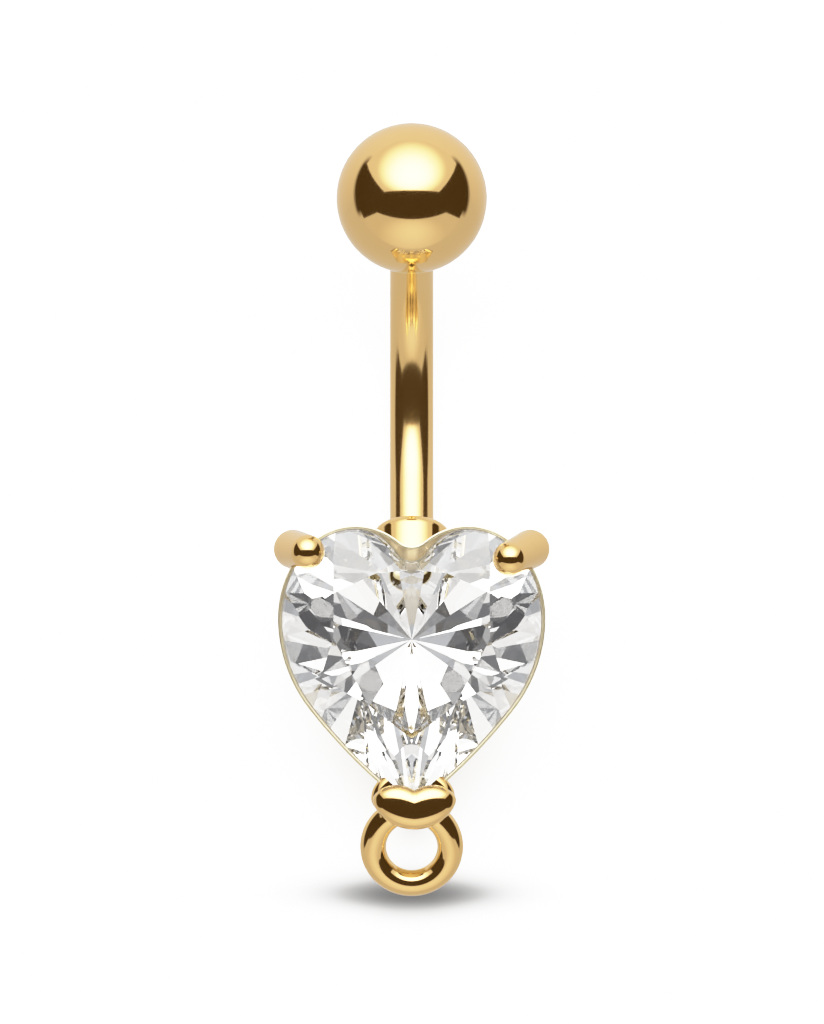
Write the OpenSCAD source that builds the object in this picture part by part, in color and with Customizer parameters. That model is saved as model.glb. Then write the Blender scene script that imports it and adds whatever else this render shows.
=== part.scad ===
// Navel ring: a curved bar with a screw-on ball at one end and a claw-set heart stone at the other.
// It is modelled in the stone's own frame, then laid on its back as it rests on a table:
// x is across the heart, y runs up towards the ball, z faces out of the stone, z = 0 is the girdle.

/* [Ball] */
// Diameter of the screw-on ball
ball_d = 5.5; // [4.5:0.1:7]
// Length of the plain post that reaches into the ball
post_len = 2.6; // [1.6:0.1:3]
// Radial clearance of the post in the ball and of the bar in its collar
post_gap = 0.04; // [0.02:0.01:0.08]
// Depth of the hole beyond the end of the post
hole_spare = 0.1; // [0.05:0.05:0.4]

/* [Bar] */
// Diameter of the bar, 14 gauge
bar_d = 1.6; // [1.2:0.1:2]
// Radius of the bend, along the middle of the bar
bend_r = 7; // [6:0.1:10]
// Tilt of the bar where it leaves the collar, away from the viewer
low_tilt = 24; // [16:1:34]
// Tilt of the bar where it enters the ball, towards the viewer
top_tilt = 50; // [36:1:60]
// Straight stretch between the collar and the bend
low_straight = 1.69; // [0.5:0.01:3]
// Straight stretch between the bend and the ball
top_straight = 0.75; // [0.3:0.01:3]
// Rounding of the two ends of the bar
bar_end_r = 0.2; // [0.05:0.05:0.4]

/* [Collar] */
// Outer diameter of the collar that holds the bar
collar_d = 2.8; // [2.5:0.1:3.4]
// Length of the collar, down to its root between the lobes
collar_len = 1.7; // [1.4:0.1:2.2]
// Depth of the socket in the collar
socket_depth = 1.2; // [0.8:0.1:1.3]
// Rounding of the collar's mouth
collar_edge_r = 0.2; // [0.05:0.05:0.3]
// Height of the collar's mouth above the cleft of the rim
collar_rise = 0.66; // [0.3:0.01:1]
// Depth of the collar's mouth below the rim
collar_drop = 4.69; // [4.2:0.01:5]

/* [Heart rim] */
// Width of the heart across its rim
heart_w = 9.74; // [9:0.02:11]
// Height of the lobe tops above the stone's middle
lobe_top = 4.17; // [3.8:0.01:4.6]
// Distance of each lobe top from the middle line
lobe_x = 2.05; // [1.9:0.01:2.3]
// Height of the widest place above the stone's middle
widest_y = 0.8; // [0.5:0.01:1.1]
// Radius of the heart's sides below the widest place
side_r = 5.4; // [5:0.1:6]
// Angle that the side arc turns through
side_turn = 38; // [34:1:42]
// Radius of the nearly straight lower sides
lower_r = 20; // [16:1:30]
// Distance from the middle line at which the rim's cleft starts to round
cleft_blend = 0.45; // [0.35:0.01:0.6]

/* [Cup] */
// Height of the rim above the girdle plane
rim_h = 0.1; // [0.05:0.01:0.2]
// Width of the flat front edge of the rim
rim_edge = 0.12; // [0.1:0.01:0.2]
// Depth of the cup at its tip, from the girdle plane to the back edge
cup_depth = 4.7; // [4.4:0.1:5.2]
// How far the cup narrows all round between rim and back edge
cup_draft = 1; // [0.6:0.05:1.2]
// Wall of the cup at its back edge
cup_wall = 0.5; // [0.4:0.05:0.7]
// Share of the way to the culet that the seat under the stone reaches
seat_share = 0.14; // [0.1:0.01:0.18]
// Gap between the seat and the stone's underside
seat_gap = 0.12; // [0.1:0.01:0.2]

/* [Stone] */
// Gap between the stone and the metal
stone_gap = 0.04; // [0.02:0.01:0.08]
// Height of the crown, from girdle to table
crown_h = 1.3; // [1.1:0.05:1.5]
// Depth of the pavilion, from girdle to culet
pavilion_h = 4.2; // [4:0.05:4.4]
// Thickness of the girdle
girdle_t = 0.16; // [0.08:0.01:0.2]
// Half width of the inner side of each lobe, from lobe top to the cleft's middle
cleft_half = 2.19; // [2.15:0.01:2.3]
// Distance from the middle line at which the stone's cleft starts to round
stone_blend = 0.53; // [0.45:0.01:0.6]
// Slope of the star facets beside the table
star_slope = 27; // [22:1:30]
// How much steeper the upper girdle facets are than the mains
upper_steeper = 5; // [3:1:7]
// How much steeper the lower girdle facets are than the pavilion mains
lower_steeper = 1.2; // [0.8:0.1:3]

/* [Claws] */
// Diameter of a claw at its bend
claw_d = 1.44; // [1.2:0.02:1.6]
// Diameter of the ball-like tip of a claw
claw_tip_d = 1.28; // [1:0.02:1.4]
// Place of both claws on the lobe, from its right-hand side
claw_angle = 43.7; // [38:0.1:50]
// How far the bend stands out from the rim
claw_out = 0.28; // [0.2:0.01:0.4]
// Height of the bend's middle above the girdle plane
claw_bend_h = -0.65; // [-0.9:0.05:0.3]
// Height of the tip's middle above the girdle plane
claw_tip_h = 0.85; // [0.75:0.05:1]
// Depth of the roots of the claws and of the tip prong below the girdle plane
claw_root = 3; // [2.4:0.1:3.4]
// Diameter of the roots
claw_root_d = 1; // [0.8:0.05:1.2]

/* [Tip prong] */
// Thickness of the rounded prong that wraps the heart's tip
prong_d = 1.24; // [1.1:0.02:1.4]
// Half spread of the prong's two arms
prong_spread = 0.95; // [0.8:0.01:1.1]
// How far the ends of the arms lie above their middle
prong_rise = 0.45; // [0.35:0.01:0.55]
// Distance of the prong's middle below the heart's pointed tip
prong_drop = 0.03; // [0:0.01:0.15]
// Height of the prong's middle above the girdle plane
prong_h = 0.45; // [0.35:0.05:0.6]

/* [Charm loop] */
// Diameter of the hole in the loop
loop_hole_d = 1.85; // [1.6:0.05:2.4]
// Diameter of the loop's wire
loop_wire_d = 0.96; // [0.8:0.01:1.1]
// Depth of the top of the loop below the girdle plane
loop_depth = 0.5; // [0.3:0.05:1]
// Angle at which the loop leans back from its top, away from the viewer
loop_lean = 18; // [0:1:25]

/* [Hidden] */
$fn = 96;

// Steps along each of the five stretches of a half outline, and the side of a cutting block
STRETCH_STEPS = [5, 9, 12, 8, 8];
// Flats all round the eight-sided cutter of the cleft's facets, and half the angle of one
NOTCH_FLATS = 8;
notch_turn = 180 / NOTCH_FLATS;
block = 40;
hair = 0.01;
// How far a straight stretch of the bar starts inside the bend, and how much slimmer it is
weld = 0.1;
slim = 0.01;
round_fn = 32;

// The claws differ a little: side, how far the tip reaches in, how far it leans along the rim
CLAWS = [
  [-1, 0.18, 0.24],
  [1, 0.51, 0.18]
];

// Corners of the table on the right half, as shares of half the width and of the height above
// or below the stone's middle, with the direction that the main facet below each corner faces
TABLE = [
  // x share, y share, direction
  [0, 0.61, 121],
  [0, 0.61, 104],
  [0.27, 0.585, 77],
  [0.6, 0.41, 36],
  [0.605, 0.015, -12],
  [0.335, -0.38, -41],
  [0, -0.58, -72]
];
// Directions of the upper girdle facets and of the pavilion mains; two lower girdle facets lie
// between one main and the next, at shares of the way
UPPER_FACETS = [96, 86, 66, 50, 22, 6, -4, -21, -33, -46, -50];
MAIN_FACETS = [112, 82, 44, 20, -12, -40, -64];
LOWER_SHARES = [0.3, 0.7];
LOWER_FACETS = [for (i = [1:len(MAIN_FACETS) - 1]) for (share = LOWER_SHARES)
  MAIN_FACETS[i - 1] + share * (MAIN_FACETS[i] - MAIN_FACETS[i - 1])];

// Points and directions in the plane of the bar, as [height, depth]
function up_way(tilt) = [cos(tilt), -sin(tilt)];
function out_way(tilt) = [sin(tilt), cos(tilt)];

// The rim's outline: side arc, lower arc and pointed tip
side_mid = [heart_w / 2 - side_r, widest_y];
side_end = side_mid + side_r * [cos(side_turn), -sin(side_turn)];
lower_mid = side_end - lower_r * [cos(side_turn), -sin(side_turn)];

// A heart outline is [half width of lobe, half width of its cleft side, lobe height, blend, inset]
rim_lobe = heart_w / 2 - lobe_x;
stone_inset = rim_edge + stone_gap;
function rim_outline(inset) =
  [rim_lobe, rim_lobe, lobe_top - widest_y, cleft_blend, inset];
function stone_outline(grow) =
  [rim_lobe - stone_inset, cleft_half, lobe_top - widest_y - stone_inset, stone_blend, grow];

// Lobe ellipse of an outline at an angle: point, and the outward direction there
function lobe_half(o, angle) = cos(angle) < 0 ? o[1] : o[0];
function lobe_point(o, angle) =
  [lobe_x + lobe_half(o, angle) * cos(angle), widest_y + o[2] * sin(angle)];
function lobe_way(o, angle) =
  let (n = [cos(angle) / lobe_half(o, angle), sin(angle) / o[2]]) n / norm(n);
function blend_angle(o) = acos((o[3] - lobe_x) / o[1]);
function blend_mid(o) =
  let (p = lobe_point(o, blend_angle(o)), n = lobe_way(o, blend_angle(o))) p - n * p.x / n.x;
function blend_r(o) = norm(blend_mid(o) - lobe_point(o, blend_angle(o)));

// Inset of the side and lower arcs, and the angle at which the lower arc meets the middle line
function arc_inset(o) = o[4] + (rim_lobe - o[0]);
function tip_angle(o) = acos(-lower_mid.x / (lower_r - arc_inset(o)));
function tip_y(o) = lower_mid.y - (lower_r - arc_inset(o)) * sin(tip_angle(o));
function cleft_y(o) = blend_mid(o).y - blend_r(o) - o[4];

function steps(from, to, n) = [for (i = [0:n - 1]) from + (to - from) * i / n];
// Right half of an outline, from the cleft's bottom to the tip
function cleft_points(o) =
  let (way = -lobe_way(o, blend_angle(o)))
  [for (a = steps(-90, atan2(way.y, way.x), STRETCH_STEPS[0]))
    blend_mid(o) + (blend_r(o) + o[4]) * [cos(a), sin(a)]];
function lobe_points(o) = concat(
  [for (a = steps(blend_angle(o), 90, STRETCH_STEPS[1])) lobe_point(o, a) - o[4] * lobe_way(o, a)],
  [for (a = steps(90, 0, STRETCH_STEPS[2])) lobe_point(o, a) - o[4] * lobe_way(o, a)]
);
function side_points(o) = concat(
  [for (a = steps(0, side_turn, STRETCH_STEPS[3]))
    side_mid + (side_r - arc_inset(o)) * [cos(a), -sin(a)]],
  [for (a = steps(side_turn, tip_angle(o), STRETCH_STEPS[4]))
    lower_mid + (lower_r - arc_inset(o)) * [cos(a), -sin(a)]]
);
function half_points(o) = concat(cleft_points(o), lobe_points(o), side_points(o), [[0, tip_y(o)]]);
// Whole outline: down the right half, and back up the left one
function outline_points(o) =
  let (right = half_points(o), n = len(right))
  concat(right, [for (i = [n - 2:-1:1]) [-right[i].x, right[i].y]]);

tip = tip_y(rim_outline(0));
cleft = cleft_y(rim_outline(0));

// Middle of the collar's mouth, ends of the bend, and middle of the ball, as [height, depth]
mouth = [cleft + collar_rise, rim_h - collar_drop];
bend_start = mouth + low_straight * up_way(low_tilt);
bend_mid = bend_start + bend_r * out_way(low_tilt);
bend_end = bend_mid + bend_r * [sin(top_tilt), -cos(top_tilt)];
top_way = [cos(top_tilt), sin(top_tilt)];
ball_mid = bend_end + (top_straight + ball_d / 2) * top_way;

// The ring lies on the back edge of the cup and on the back of the bar, or of the collar if that
// is lower: the tilt of that plane, and its depth at any height
back_tip = [tip_y(rim_outline(cup_draft)), -cup_depth];
to_bend = bend_mid - back_tip;
bar_rest = asin((bend_r + bar_d / 2) / norm(to_bend)) - atan2(to_bend.y, to_bend.x);
collar_back = mouth - collar_d / 2 * out_way(low_tilt) - back_tip;
collar_rest = atan2(-collar_back.y, collar_back.x) + hair;
rest_tilt = max(bar_rest, collar_rest);
function rest_depth(y) = back_tip.y - tan(rest_tilt) * (y - back_tip.x);

// Places of the tip prong and the loop, whose wire starts behind the heart's pointed tip, and the
// shift that centres the resting ring
prong_y = tip - prong_drop;
loop_r = (loop_hole_d + loop_wire_d) / 2;
loop_top = [tip, -loop_depth];
loop_mid = loop_top - loop_r * [cos(loop_lean), sin(loop_lean)];
function laid_y(p) = p.x * cos(rest_tilt) - p.y * sin(rest_tilt);
function laid_z(p) = p.x * sin(rest_tilt) + p.y * cos(rest_tilt);
laid_top = laid_y(ball_mid) + ball_d / 2;
laid_low = laid_y(loop_mid) - loop_r * cos(rest_tilt + loop_lean) - loop_wire_d / 2;
lay_shift = [0, -(laid_top + laid_low) / 2, -laid_z(back_tip)];

module laid() translate(lay_shift) rotate([rest_tilt, 0, 0]) children();

// Puts a child that stands on +z along the bar's line at a place: tilt is measured from +y,
// positive leans towards the viewer
module along_bar(place, tilt) translate([0, place.x, place.y]) rotate([tilt - 90, 0, 0]) children();

// Straight stretch of the bar with a rounded end: it starts a little way inside the bend, and is
// a hair thinner so that it lies within the bend there
module round_bar(length) {
  r = bar_d / 2 - slim;
  rotate_extrude() {
    translate([0, -weld]) square([r, length - bar_end_r + weld]);
    square([r - bar_end_r, length]);
    translate([r - bar_end_r, length - bar_end_r]) circle(r = bar_end_r);
  }
}

module top_ball() color("gold") laid() {
  hole_len = post_len + hole_spare;
  difference() {
    translate([0, ball_mid.x, ball_mid.y]) sphere(d = ball_d);
    along_bar(bend_end + (top_straight - bar_d) * top_way, top_tilt)
      cylinder(r = bar_d / 2 + post_gap, h = bar_d + hole_len);
  }
}

module curved_bar() color("gold") laid() {
  spigot_len = socket_depth - post_gap;
  along_bar(bend_end, top_tilt) round_bar(top_straight + post_len);
  translate([0, bend_mid.x, bend_mid.y]) rotate([0, 90, 0]) rotate([0, 0, -low_tilt])
    rotate_extrude(angle = low_tilt + top_tilt) translate([bend_r, 0]) circle(d = bar_d);
  along_bar(bend_start, 180 - low_tilt) round_bar(low_straight + spigot_len);
}

// Loft through rings of equal length that closes on itself, as a tube with a heart-shaped hole
module ring_loft(rings) {
  n = len(rings[0]);
  m = len(rings);
  points = [for (ring = rings) for (p = ring) p];
  faces = [for (j = [0:m - 1]) for (i = [0:n - 1])
    let (a = j * n, b = (j + 1) % m * n, k = (i + 1) % n)
    each [[a + i, b + i, a + k], [a + k, b + i, b + k]]];
  polyhedron(points, faces, convexity = 6);
}

function at_depth(points, z) = [for (p = points) [p.x, p.y, z]];
function at_rest(points) = [for (p = points) [p.x, p.y, rest_depth(p.y)]];

module cup() {
  girdle_low = -girdle_t - stone_gap;
  seat_low = -girdle_t - seat_share * pavilion_h - seat_gap;
  stone_edge = outline_points(stone_outline(-stone_gap));
  ring_loft([
    at_depth(outline_points(rim_outline(0)), rim_h),
    at_rest(outline_points(rim_outline(cup_draft))),
    at_rest(outline_points(rim_outline(cup_draft + cup_wall))),
    at_depth(stone_edge * (1 - seat_share), seat_low),
    at_depth(stone_edge, girdle_low),
    at_depth(outline_points(rim_outline(rim_edge)), rim_h)
  ]);
}

module collar() along_bar(mouth - collar_len * up_way(low_tilt), -low_tilt) rotate_extrude() {
  square([collar_d / 2, collar_len - collar_edge_r]);
  square([collar_d / 2 - collar_edge_r, collar_len]);
  translate([collar_d / 2 - collar_edge_r, collar_len - collar_edge_r]) circle(r = collar_edge_r);
}

// A claw rises from its root behind the rim to the bend outside it, and leans over the stone
module claw(side, reach, lean) {
  rim = rim_outline(0);
  foot = lobe_point(rim, claw_angle);
  out = lobe_way(rim, claw_angle);
  root = foot - cup_draft * claw_root / cup_depth * out;
  bend = foot + claw_out * out;
  tip_place = foot - reach * out + lean * [-out.y, out.x];
  mirror([side < 0 ? 1 : 0, 0, 0]) hull() {
    translate([root.x, root.y, -claw_root]) sphere(d = claw_root_d, $fn = round_fn);
    translate([bend.x, bend.y, claw_bend_h]) sphere(d = claw_d, $fn = round_fn);
    translate([tip_place.x, tip_place.y, claw_tip_h]) sphere(d = claw_tip_d, $fn = round_fn);
  }
}

// The tip prong: two rounded arms that meet below the heart's tip, on a body that runs back
module tip_prong() translate([0, prong_y, 0]) for (side = [-1, 1]) hull()
  for (place = [[0, 0], [side * prong_spread, prong_rise]]) translate(place) {
    translate([0, 0, prong_h]) sphere(d = prong_d, $fn = round_fn);
    translate([0, 0, -claw_root]) cylinder(d = claw_root_d, h = claw_root, $fn = round_fn);
  }

module charm_loop() translate([0, loop_mid.x, loop_mid.y]) rotate([loop_lean, 0, 0])
  rotate_extrude() translate([loop_r, 0]) circle(d = loop_wire_d);

module setting() color("gold") laid() difference() {
  union() {
    collar();
    difference() {
      union() {
        cup();
        difference() {
          union() {
            for (row = CLAWS) claw(row[0], row[1], row[2]);
            tip_prong();
            charm_loop();
          }
          cup_hollow();
        }
      }
      cut_stone(stone_gap - hair);
    }
  }
  along_bar(mouth - socket_depth * up_way(low_tilt), -low_tilt)
    cylinder(r = bar_d / 2 + post_gap, h = socket_depth + bar_d);
}

// The space inside the cup below the girdle, which the roots of the claws and prong keep out of
module cup_hollow() {
  inner = outline_points(rim_outline(cup_draft + cup_wall));
  translate([0, 0, -block / 2]) linear_extrude(block / 2 - girdle_t) polygon(inner);
}

// Half of the stone's outline without its rounded cleft, as one convex shape
function convex_half(o) =
  let (p = concat(lobe_points(o), side_points(o)), n = lobe_way(o, blend_angle(o)))
  concat([[0, p[0].y + n.x / n.y * p[0].x]], p, [[0, tip_y(o)]]);
// How far an outline reaches in a direction
function reach(points, way) = max([for (p = points) p.x * cos(way) + p.y * sin(way)]);

// Cuts away all that lies beyond a plane: it faces a direction, slopes up from the girdle at
// an angle, and passes at a distance from the middle at a height
module facet(way, slope, distance, height) rotate([0, 0, way]) translate([distance, 0, height])
  rotate([0, slope > 0 ? slope - 90 : slope + 90, 0])
  translate([0, -block / 2, -block / 2]) cube(block);

module cut_stone(grow) {
  outline = stone_outline(-grow);
  edge = convex_half(outline);
  wide = heart_w / 2 - stone_inset;
  corners = [for (t = TABLE) [t[0] * wide, t[1] * (t[1] > 0 ? lobe_top : -tip)]];
  table_h = crown_h + grow;
  low = -girdle_t - grow;
  module half() difference() {
    translate([0, 0, -pavilion_h - girdle_t - grow])
      linear_extrude(pavilion_h + girdle_t + grow + table_h) polygon(edge);
    // Stars, one along each side of the table
    for (i = [1:len(corners) - 2]) {
      side = corners[i + 1] - corners[i];
      way = atan2(side.x, -side.y);
      facet(way, star_slope, reach([corners[i]], way) + grow, table_h);
    }
    // Crown mains, from each corner of the table to the girdle
    for (i = [0:len(corners) - 1]) {
      way = TABLE[i][2];
      run = reach(edge, way) - reach([corners[i]], way) - grow;
      facet(way, atan2(crown_h, run), reach(edge, way), 0);
    }
    // Upper girdle facets
    for (way = UPPER_FACETS) {
      nearest = max([for (c = corners) reach([c], way)]);
      facet(way, atan2(crown_h, reach(edge, way) - nearest) + upper_steeper, reach(edge, way), 0);
    }
    // Pavilion mains through the culet, and the steeper facets below the girdle
    for (way = MAIN_FACETS)
      facet(way, -atan2(pavilion_h, reach(edge, way)), reach(edge, way), low);
    for (way = LOWER_FACETS)
      facet(way, -atan2(pavilion_h, reach(edge, way)) - lower_steeper, reach(edge, way), low);
  }
  // The halves meet in a sharp cleft, which is filled above the girdle and then cut to its
  // rounded depth, with small steep facets that rise to the table
  fill = [stone_blend + weld, lobe_point(outline, blend_angle(outline)).y];
  notch = blend_mid(outline).y;
  notch_r = blend_r(outline) - grow;
  flare = notch - corners[0].y - blend_r(outline);
  module cutter(r_low, r_high, low, h) translate([0, notch, low]) rotate([0, 0, notch_turn])
    cylinder(r1 = r_low / cos(notch_turn), r2 = r_high / cos(notch_turn), h = h, $fn = NOTCH_FLATS);
  difference() {
    union() {
      hull() half();
      mirror([1, 0, 0]) hull() half();
      translate([0, 0, low]) linear_extrude(table_h - hair - low)
        polygon([[-fill.x, fill.y], fill, [0, edge[0].y - weld]]);
    }
    cutter(notch_r, notch_r, -block / 2, block / 2);
    cutter(notch_r - flare, notch_r + flare * 2, -crown_h, crown_h * 3);
  }
}

module heart_stone() color("white") laid() cut_stone(0);

top_ball();
curved_bar();
setting();
heart_stone();
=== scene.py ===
"""Looks of a navel ring: polished gold and a heart-cut clear stone in a small white studio.

All sizes are in millimetres in the stone's own frame, as in the part's source: x runs across the
heart, y up towards the ball and z out of the stone, with z = 0 at the girdle. Place.laid turns
them into the frame of the CAD model, where the ring lies on its back, in metres.
"""

import logging
import math
from dataclasses import dataclass, replace
from enum import Enum

import bmesh
import bpy
import numpy as np
from mathutils import Matrix, Vector


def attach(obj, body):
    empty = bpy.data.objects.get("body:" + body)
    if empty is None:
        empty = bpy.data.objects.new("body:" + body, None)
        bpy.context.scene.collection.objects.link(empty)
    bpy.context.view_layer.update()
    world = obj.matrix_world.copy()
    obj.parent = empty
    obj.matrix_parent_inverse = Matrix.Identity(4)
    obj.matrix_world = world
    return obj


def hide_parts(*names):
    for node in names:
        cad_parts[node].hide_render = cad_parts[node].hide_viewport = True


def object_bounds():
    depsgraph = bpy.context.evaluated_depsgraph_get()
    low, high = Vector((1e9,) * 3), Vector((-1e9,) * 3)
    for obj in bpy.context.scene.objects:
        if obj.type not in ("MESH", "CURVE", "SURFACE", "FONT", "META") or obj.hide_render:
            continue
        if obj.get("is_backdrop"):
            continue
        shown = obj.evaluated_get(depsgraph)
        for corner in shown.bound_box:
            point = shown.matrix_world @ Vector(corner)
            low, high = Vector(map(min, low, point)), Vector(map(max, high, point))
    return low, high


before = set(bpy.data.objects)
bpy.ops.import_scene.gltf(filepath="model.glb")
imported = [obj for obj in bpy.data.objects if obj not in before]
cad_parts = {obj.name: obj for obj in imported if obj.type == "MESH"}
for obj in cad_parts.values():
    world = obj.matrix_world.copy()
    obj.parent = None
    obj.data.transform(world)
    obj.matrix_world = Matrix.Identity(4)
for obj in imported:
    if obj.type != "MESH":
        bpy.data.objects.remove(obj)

Pair = tuple[float, float]
Triple = tuple[float, float, float]
Array = np.ndarray
Piece = bpy.types.Object
Socket = bpy.types.NodeSocket

MM = 0.001
CARVE_WELD = 1e-4
AXIS_R = 1e-4
DOME_END = 89
DOME_TIP = 0.01
log = logging.getLogger("navel_ring")


class Body(Enum):
    """Bodies of the CAD model that pieces ride on."""

    RING = "ring"
    BALL = "ball"


class Slot(Enum):
    """Material slots of the record."""

    GOLD = "gold_polish"
    STONE = "clear_stone"


# Small helpers for points and directions


def turn(angle: float) -> Array:
    """Unit vector in a plane at an angle in degrees."""
    a = math.radians(angle)
    return np.array([math.cos(a), math.sin(a)])


def unit(v: Array) -> Array:
    """The vector scaled to length 1."""
    return v / np.linalg.norm(v)


def sweep_angles(start: float, end: float, count: int, last: bool = False) -> list[float]:
    """Evenly spaced angles in degrees; the end angle is listed where last is set."""
    return [start + (end - start) * i / count for i in range(count + (1 if last else 0))]


def arc(start: float, end: float, count: int, last: bool = False) -> list[Pair]:
    """Cosine and sine of each angle that sweep_angles lists."""
    return [tuple(turn(a)) for a in sweep_angles(start, end, count, last)]


def rounded(middle: Array, radius: float, start: float, end: float, count: int) -> list[Array]:
    """Points of an arc in plan between two angles in degrees, without its end."""
    return [middle + radius * turn(a) for a in sweep_angles(start, end, count)]


def level(points: Array, z: float | Array) -> Array:
    """Rows of x, y, z from points in plan, at one height or at a height each."""
    return np.column_stack([points, np.broadcast_to(z, len(points))])


def shares(count: int) -> list[float]:
    """Shares from 0 to 1 in even steps."""
    return [i / count for i in range(count + 1)]


def between(a: Array, b: Array, count: int) -> list[Array]:
    """Points or rings strictly between two of them, spaced evenly."""
    return [a + (b - a) * i / count for i in range(1, count)]


@dataclass(frozen=True)
class Place:
    """How the stone's frame lies in the CAD frame."""

    tilt: float = 8.82018
    shift_y: float = -4.86054
    shift_z: float = 5.39786

    def laid(self, points: Array) -> Array:
        """Moves points from the stone's frame to the CAD frame.

        Args:
            points: Rows of x, y, z in millimetres.

        Returns:
            Rows of x, y, z in metres.
        """
        a = math.radians(self.tilt)
        c, s = math.cos(a), math.sin(a)
        p = np.asarray(points, dtype=float).reshape(-1, 3)
        y = p[:, 1] * c - p[:, 2] * s + self.shift_y
        z = p[:, 1] * s + p[:, 2] * c + self.shift_z
        return np.column_stack([p[:, 0], y, z]) * MM

    def way(self, direction: Triple) -> Vector:
        """A direction of the stone's frame, in the CAD frame."""
        zero, tip = self.laid(np.array([[0, 0, 0], direction]))
        return Vector(unit(tip - zero))


PLACE = Place()


# Shapes as points and faces


def in_scene(name: str, data: bpy.types.ID) -> Piece:
    """Makes an object of a mesh, camera or light, and adds it to the scene.

    Args:
        name: Name of the object.
        data: What it is made of.

    Returns:
        The new object.
    """
    obj = bpy.data.objects.new(name, data)
    bpy.context.scene.collection.objects.link(obj)
    return obj


@dataclass
class Shape:
    """A surface in the stone's frame: points in millimetres, and faces that index them."""

    points: Array
    faces: list[tuple[int, ...]]

    def joined(self, other: "Shape") -> "Shape":
        """This surface and another as one list of points and faces.

        Args:
            other: The other surface.

        Returns:
            The joined surface.
        """
        n = len(self.points)
        faces = self.faces + [tuple(i + n for i in f) for f in other.faces]
        return Shape(np.vstack([self.points, other.points]), faces)

    def mirrored(self) -> "Shape":
        """The surface on the other side of the middle line."""
        return Shape(self.points * [-1, 1, 1], [tuple(reversed(f)) for f in self.faces])

    def piece(self, name: str, crease: float | None = 32.0) -> Piece:
        """Makes the Blender object.

        Args:
            name: Name of the object.
            crease: Angle in degrees above which an edge stays sharp, or None for flat facets.

        Returns:
            The new object, in the CAD frame.
        """
        mesh = bpy.data.meshes.new(name)
        mesh.from_pydata(PLACE.laid(self.points).tolist(), [], self.faces)
        mesh.validate()
        mesh.polygons.foreach_set("use_smooth", [crease is not None] * len(mesh.polygons))
        if crease is not None:
            mesh.set_sharp_from_angle(angle=math.radians(crease))
        mesh.update()
        return in_scene(name, mesh)


@dataclass(frozen=True)
class Station:
    """One ring of a swept surface: its middle, the way it faces and its radius."""

    middle: Array
    way: Array
    radius: float


def loft(rings: list[Array], closed: bool = False, caps: bool = False) -> Shape:
    """Surface through rings of equal length.

    Args:
        rings: Rings of points, each closed on itself.
        closed: Whether the last ring joins the first.
        caps: Whether the first and last rings are closed with faces.

    Returns:
        The surface.
    """
    n, m = len(rings[0]), len(rings)
    faces = []
    for j in range(m if closed else m - 1):
        a, b = j * n, (j + 1) % m * n
        faces += [(a + i, a + (i + 1) % n, b + (i + 1) % n, b + i) for i in range(n)]
    if caps:
        faces += [tuple(reversed(range(n))), tuple(range((m - 1) * n, m * n))]
    return Shape(np.vstack(rings), faces)


def prism(outline: Array, low: float, high: float) -> Shape:
    """Upright block over an outline in plan, from one height to another."""
    return loft([level(outline, z) for z in (low, high)], caps=True)


def swept(stations: list[Station], sides: int, closed: bool = False,
          across: Array | None = None) -> Shape:
    """Round tube through stations; a ring turns on the spot where two share a middle.

    Args:
        stations: The rings, in order.
        sides: Points on each ring.
        closed: Whether the tube closes on itself.
        across: Direction across the plane of a flat tube, at which its rings are lined up.

    Returns:
        The surface.
    """
    first = unit(stations[0].way)
    side = np.array([1.0, 0, 0]) if abs(first[0]) < 0.9 else np.array([0, 1.0, 0])
    rings = []
    for s in stations:
        way = unit(s.way)
        side = unit(side - way * np.dot(side, way)) if across is None else np.cross(across, way)
        up = np.cross(way, side)
        rings.append(np.array([s.middle + s.radius * (c * side + q * up)
                               for c, q in arc(0, 360, sides)]))
    return loft(rings, closed=closed, caps=not closed)


def dome(middle: Array, way: Array, radius: float, steps: int, opening: bool) -> list[Station]:
    """Stations of a half ball at an end of a tube.

    Args:
        middle: Middle of the half ball.
        way: Direction of the tube there.
        radius: Radius of the tube.
        steps: Number of rings.
        opening: True where the tube starts, false where it ends.

    Returns:
        The stations, in the tube's order.
    """
    turns = arc(DOME_END, 0, steps) if opening else arc(0, DOME_END, steps, True)[1:]
    sign = -1 if opening else 1
    return [Station(middle + sign * s * radius * way, way, radius * max(c, DOME_TIP))
            for c, s in turns]


def straight(start: Array, end: Array, radii: Pair, steps: int,
             first: int, last: int) -> list[Station]:
    """Stations of a straight stretch between two radii, from its first to its last step."""
    return [Station(start + (end - start) * t, unit(end - start),
                    radii[0] + (radii[1] - radii[0]) * t) for t in shares(steps)[first:last + 1]]


def lathe(profile: list[Pair], foot: Array, way: Array, sides: int) -> Shape:
    """Turns a profile of radius and height about an axis that starts at a foot."""
    return swept([Station(foot + h * way, way, max(r, AXIS_R)) for r, h in profile], sides)


def welded(shape: Shape, weld: float) -> Shape:
    """Makes corners that lie together one, and turns all faces outwards.

    Args:
        shape: The surface.
        weld: Distance within which corners are made one.

    Returns:
        The cleaned surface.
    """
    work = bmesh.new()
    corners = [work.verts.new(p) for p in shape.points]
    for face in shape.faces:
        work.faces.new([corners[i] for i in face])
    bmesh.ops.remove_doubles(work, verts=work.verts, dist=weld)
    bmesh.ops.recalc_face_normals(work, faces=work.faces)
    work.verts.index_update()
    made = Shape(np.array([v.co[:] for v in work.verts]),
                 [tuple(v.index for v in f.verts) for f in work.faces])
    work.free()
    return made


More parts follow.
